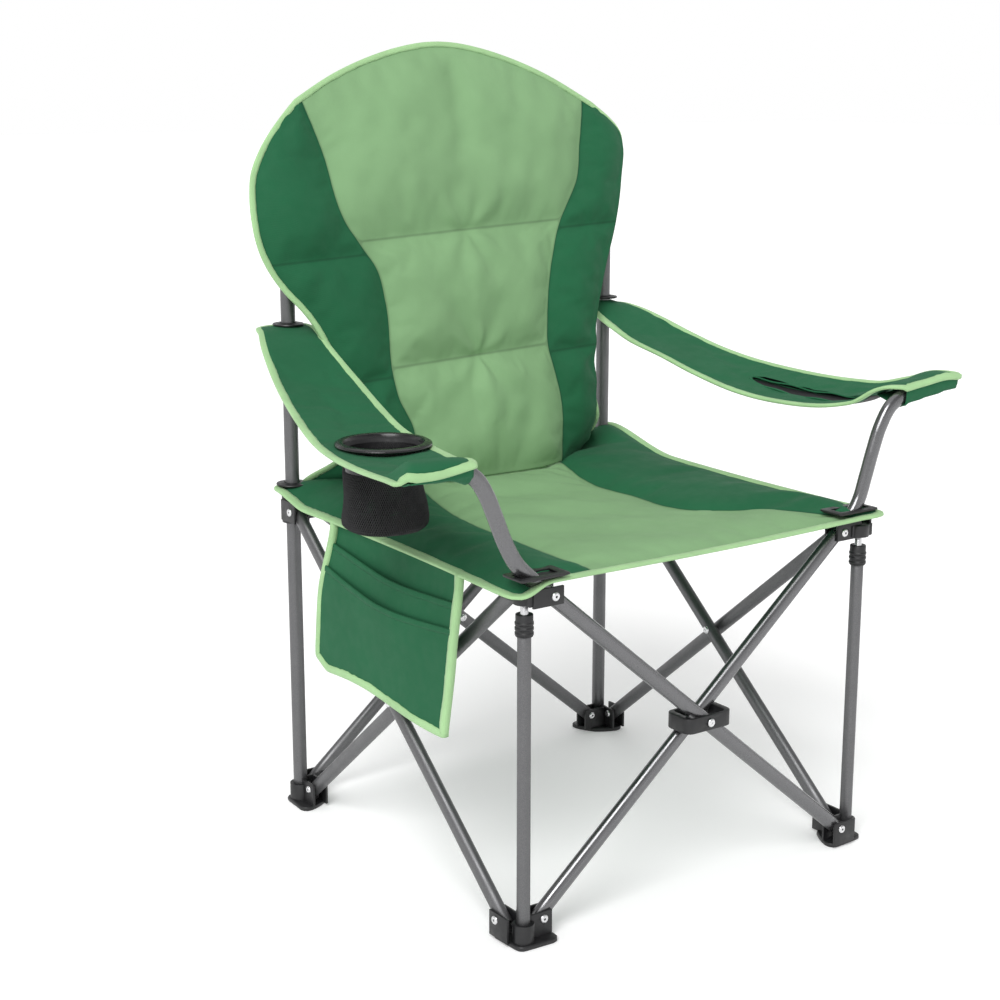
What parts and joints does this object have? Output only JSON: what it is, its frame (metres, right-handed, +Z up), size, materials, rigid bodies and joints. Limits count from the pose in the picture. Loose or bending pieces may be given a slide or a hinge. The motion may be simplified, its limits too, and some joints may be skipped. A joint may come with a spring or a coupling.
{
  "type": "folding camp chair",
  "caption": "Folding camp chair with a scissor frame of steel tube, padded seat and high back, fabric armrests, a mesh cup holder and side pockets.",
  "frame": {"origin": "on the floor, under the middle of the overall box of the open chair", "axes": "+Z up; the sitter faces -Y; +X is on the left hand of someone sitting in the chair"},
  "size_m": [0.8461, 0.5985, 1.028],
  "materials": {
    "grey_steel": "satin grey powder coat",
    "arm_steel": "satin silver grey powder coat",
    "bright_steel": "zinc plated",
    "black_plastic": "fine grained moulding",
    "light_fabric": "light green woven polyester, padded",
    "dark_fabric": "dark green woven polyester",
    "black_mesh": "black knitted mesh"
  },
  "bodies": {
    "root": {"rear_left_foot": "black_plastic", "rear_left_post": "grey_steel", "rear_left_post_cap": "black_plastic", "left_arm_grommet": "black_plastic", "backrest": "light_fabric"},
    "rear_cross_a": {"rear_cross_a": "grey_steel", "rear_cross_rivet": "bright_steel"},
    "rear_cross_b": {"rear_cross_b": "grey_steel"},
    "rear_right_leg": {"rear_right_foot": "black_plastic", "rear_right_post": "grey_steel", "rear_right_post_cap": "black_plastic", "right_arm_grommet": "black_plastic"},
    "rear_right_slider": {"rear_right_slider": "black_plastic", "rear_right_seat_grommet": "black_plastic"},
    "rear_left_slider": {"rear_left_slider": "black_plastic", "rear_left_seat_grommet": "black_plastic"},
    "left_cross_a": {"left_cross_a": "grey_steel", "left_cross_rivet": "bright_steel"},
    "left_cross_b": {"left_cross_b": "grey_steel"},
    "front_left_leg": {"front_left_foot": "black_plastic", "front_left_leg": "grey_steel", "front_left_leg_sleeve": "black_plastic"},
    "front_left_bracket": {"front_left_bracket": "black_plastic", "front_left_leg_rod": "bright_steel", "front_left_seat_plate": "black_plastic"},
    "right_cross_a": {"right_cross_a": "grey_steel", "right_cross_rivet": "bright_steel"},
    "right_cross_b": {"right_cross_b": "grey_steel"},
    "front_right_leg": {"front_right_foot": "black_plastic", "front_right_leg": "grey_steel", "front_right_leg_sleeve": "black_plastic"},
    "front_right_bracket": {"front_right_bracket": "black_plastic", "front_right_leg_rod": "bright_steel", "front_right_seat_plate": "black_plastic"},
    "arm_tube_right": {"arm_tube_right": "arm_steel"},
    "arm_tube_left": {"arm_tube_left": "arm_steel"},
    "front_hub": {"front_hub": "black_plastic", "front_hub_rivet": "bright_steel"},
    "seat_rear": {"seat_rear": "light_fabric"},
    "seat_front": {"seat_front": "light_fabric"},
    "left_arm_front": {"left_armrest_front": "dark_fabric", "cup_rim": "black_plastic", "cup_mesh": "black_mesh"},
    "left_arm_rear": {"left_armrest_rear": "dark_fabric"},
    "right_arm_front": {"right_armrest_front": "dark_fabric", "right_arm_pocket": "black_mesh"},
    "right_arm_rear": {"right_armrest_rear": "dark_fabric"},
    "side_pocket": {"side_pocket_back": "dark_fabric", "side_pocket_upper": "dark_fabric", "side_pocket_lower": "dark_fabric"}
  },
  "joints": [
    {"name": "fold", "type": "hinge", "parent": "root", "child": "rear_cross_a", "pos_m": [-0.236, 0.265, 0.026], "axis": [0, -1, 0], "range_deg": [0, 40], "deforming": ["backrest", "seat_rear", "seat_front", "left_armrest_front", "left_armrest_rear", "right_armrest_front", "right_armrest_rear", "right_arm_pocket", "cup_mesh", "side_pocket_back", "side_pocket_upper", "side_pocket_lower"]},
    {"name": "rear_cross_pivot", "type": "hinge", "parent": "rear_cross_a", "child": "rear_cross_b", "pos_m": [0, 0.256, 0.224], "axis": [0, -1, 0], "range_deg": [-81, 0]},
    {"name": "rear_right_foot_pivot", "type": "hinge", "parent": "rear_cross_b", "child": "rear_right_leg", "pos_m": [0.236, 0.247, 0.026], "axis": [0, -1, 0], "range_deg": [0, 40.5]},
    {"name": "rear_right_slider_pivot", "type": "hinge", "parent": "rear_cross_a", "child": "rear_right_slider", "pos_m": [0.236, 0.265, 0.422], "axis": [0, -1, 0], "range_deg": [-41, 0]},
    {"name": "rear_left_slider_pivot", "type": "hinge", "parent": "rear_cross_b", "child": "rear_left_slider", "pos_m": [-0.236, 0.247, 0.422], "axis": [0, -1, 0], "range_deg": [0, 40.5]},
    {"name": "left_cross_a_foot_pivot", "type": "hinge", "parent": "root", "child": "left_cross_a", "pos_m": [-0.255, 0.228, 0.026], "axis": [-1, 0, 0], "range_deg": [0, 40.5]},
    {"name": "left_cross_pivot", "type": "hinge", "parent": "left_cross_a", "child": "left_cross_b", "pos_m": [-0.264, -0.008, 0.224], "axis": [-1, 0, 0], "range_deg": [-81, 0]},
    {"name": "front_left_foot_pivot", "type": "hinge", "parent": "left_cross_b", "child": "front_left_leg", "pos_m": [-0.273, -0.244, 0.026], "axis": [-1, 0, 0], "range_deg": [0, 40.5]},
    {"name": "front_left_bracket_pivot", "type": "hinge", "parent": "left_cross_a", "child": "front_left_bracket", "pos_m": [-0.255, -0.244, 0.422], "axis": [-1, 0, 0], "range_deg": [-41, 0]},
    {"name": "right_cross_a_foot_pivot", "type": "hinge", "parent": "rear_right_leg", "child": "right_cross_a", "pos_m": [0.273, 0.228, 0.026], "axis": [-1, 0, 0], "range_deg": [0, 40.5]},
    {"name": "right_cross_pivot", "type": "hinge", "parent": "right_cross_a", "child": "right_cross_b", "pos_m": [0.264, -0.008, 0.224], "axis": [-1, 0, 0], "range_deg": [-81, 0]},
    {"name": "front_right_foot_pivot", "type": "hinge", "parent": "right_cross_b", "child": "front_right_leg", "pos_m": [0.255, -0.244, 0.026], "axis": [-1, 0, 0], "range_deg": [0, 40.5]},
    {"name": "front_right_bracket_pivot", "type": "hinge", "parent": "right_cross_a", "child": "front_right_bracket", "pos_m": [0.273, -0.244, 0.422], "axis": [-1, 0, 0], "range_deg": [-41, 0]},
    {"name": "arm_tube_right_foot_pivot", "type": "hinge", "parent": "front_left_leg", "child": "arm_tube_right", "pos_m": [-0.236, -0.263, 0.026], "axis": [0, -1, 0], "range_deg": [0, 40.5]},
    {"name": "arm_tube_left_foot_pivot", "type": "hinge", "parent": "front_right_leg", "child": "arm_tube_left", "pos_m": [0.236, -0.281, 0.026], "axis": [0, 1, 0], "range_deg": [0, 40.5]},
    {"name": "front_hub_pivot", "type": "hinge", "parent": "arm_tube_right", "child": "front_hub", "pos_m": [0, -0.272, 0.224], "axis": [0, -1, 0], "range_deg": [-41, 0]},
    {"name": "seat_rear_hinge", "type": "hinge", "parent": "rear_left_slider", "child": "seat_rear", "pos_m": [0, 0.256, 0.449], "axis": [1, 0, 0], "range_deg": [0, 72.52]},
    {"name": "seat_crease", "type": "hinge", "parent": "seat_rear", "child": "seat_front", "pos_m": [0, -0.008, 0.4455], "axis": [1, 0, 0], "range_deg": [-145.03, 0]},
    {"name": "left_arm_hem_hinge", "type": "hinge", "parent": "arm_tube_left", "child": "left_arm_front", "pos_m": [-0.381, -0.281, 0.581], "axis": [-0.9317, -0.3609, -0.0403], "range_deg": [0, 76.86]},
    {"name": "left_arm_crease", "type": "hinge", "parent": "left_arm_front", "child": "left_arm_rear", "pos_m": [-0.325, 0.10398, 0.56398], "axis": [0.975, -0.1422, -0.1707], "range_deg": [0, 111.77]},
    {"name": "right_arm_hem_hinge", "type": "hinge", "parent": "arm_tube_right", "child": "right_arm_front", "pos_m": [0.381, -0.263, 0.592], "axis": [-0.9138, 0.4062, 0.0008], "range_deg": [0, 78.72]},
    {"name": "right_arm_crease", "type": "hinge", "parent": "right_arm_front", "child": "right_arm_rear", "pos_m": [0.325, 0.11805, 0.62783], "axis": [0.9789, 0.1549, 0.1333], "range_deg": [0, 152.52]},
    {"name": "pocket_swing", "type": "hinge", "parent": "rear_left_slider", "child": "side_pocket", "pos_m": [-0.286, -0.008, 0.427], "axis": [0, 1, 0], "range_deg": [0, 70]}
  ],
  "couplings": [
    {"joint": "rear_cross_pivot", "follows": "fold", "ratio": -2},
    {"joint": "rear_right_foot_pivot", "follows": "fold", "ratio": 1},
    {"joint": "rear_right_slider_pivot", "follows": "fold", "ratio": -1},
    {"joint": "rear_left_slider_pivot", "follows": "fold", "ratio": 1},
    {"joint": "left_cross_a_foot_pivot", "follows": "fold", "ratio": 1},
    {"joint": "left_cross_pivot", "follows": "fold", "ratio": -2},
    {"joint": "front_left_foot_pivot", "follows": "fold", "ratio": 1},
    {"joint": "front_left_bracket_pivot", "follows": "fold", "ratio": -1},
    {"joint": "right_cross_a_foot_pivot", "follows": "fold", "ratio": 1},
    {"joint": "right_cross_pivot", "follows": "fold", "ratio": -2},
    {"joint": "front_right_foot_pivot", "follows": "fold", "ratio": 1},
    {"joint": "front_right_bracket_pivot", "follows": "fold", "ratio": -1},
    {"joint": "arm_tube_right_foot_pivot", "follows": "fold", "ratio": 1},
    {"joint": "arm_tube_left_foot_pivot", "follows": "fold", "ratio": 1},
    {"joint": "front_hub_pivot", "follows": "fold", "ratio": -1},
    {"joint": "seat_rear_hinge", "follows": "fold", "ratio": 1.8004},
    {"joint": "seat_crease", "follows": "fold", "ratio": -3.6008},
    {"joint": "left_arm_hem_hinge", "follows": "fold", "ratio": 1.909},
    {"joint": "left_arm_crease", "follows": "fold", "ratio": 2.7818},
    {"joint": "right_arm_hem_hinge", "follows": "fold", "ratio": 1.9556},
    {"joint": "right_arm_crease", "follows": "fold", "ratio": 3.8005}
  ]
}
